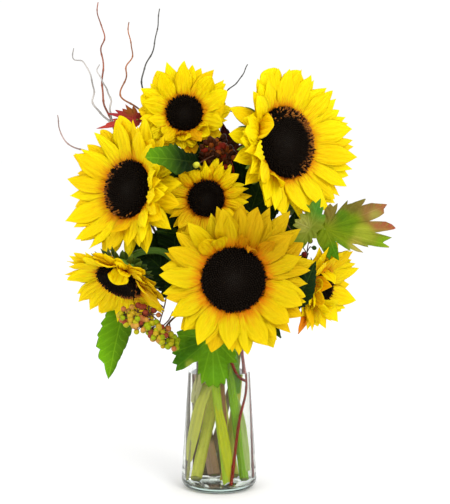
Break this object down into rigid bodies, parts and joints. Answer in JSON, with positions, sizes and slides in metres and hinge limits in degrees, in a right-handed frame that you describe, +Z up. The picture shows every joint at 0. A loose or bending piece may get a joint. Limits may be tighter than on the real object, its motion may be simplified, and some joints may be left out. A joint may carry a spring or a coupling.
{
  "type": "sunflower bouquet in a glass vase",
  "caption": "Bouquet of sunflowers with berries, autumn leaves and curly willow twigs, standing in water in a clear tapered glass vase.",
  "frame": {"origin": "middle of the underside of the vase, on the surface that it stands on", "axes": "+Z up, -Y toward the front of the bouquet, +X to the viewer's right"},
  "size_m": [0.3384, 0.1711, 0.487],
  "materials": {
    "glass": "gloss",
    "water": "gloss",
    "petals": "matte",
    "disc": "matte",
    "stem": "satin",
    "bark": "matte",
    "red_bark": "satin",
    "willow": "matte",
    "autumn_leaf": "matte",
    "pale_leaf": "matte",
    "red_leaf": "matte",
    "burgundy_leaf": "matte",
    "dark_berries": "satin",
    "orange_berries": "satin"
  },
  "bodies": {
    "root": {"vase": "glass", "water": "water", "sunflower_top_petals": "petals", "sunflower_top_disc": "disc", "sunflower_top_stem": "stem", "sunflower_top_right_petals": "petals", "sunflower_top_right_disc": "disc", "sunflower_top_right_stem": "stem", "sunflower_left_petals": "petals", "sunflower_left_disc": "disc", "sunflower_left_stem": "stem", "sunflower_front_petals": "petals", "sunflower_front_disc": "disc", "sunflower_front_stem": "stem", "sunflower_middle_petals": "petals", "sunflower_middle_disc": "disc", "sunflower_middle_stem": "stem", "sunflower_lower_left_petals": "petals", "sunflower_lower_left_disc": "disc", "sunflower_lower_left_stem": "stem", "sunflower_lower_right_petals": "petals", "sunflower_lower_right_disc": "disc", "sunflower_lower_right_stem": "stem", "viburnum_branch": "bark", "autumn_leaf": "autumn_leaf", "pale_leaf": "pale_leaf", "red_leaf_stem": "red_bark", "red_leaf": "red_leaf", "centre_berries": "dark_berries", "burgundy_leaf": "burgundy_leaf", "right_berries": "dark_berries", "lower_berries": "orange_berries", "willow_left": "willow", "willow_middle": "willow", "willow_right": "willow"}
  },
  "joints": []
}
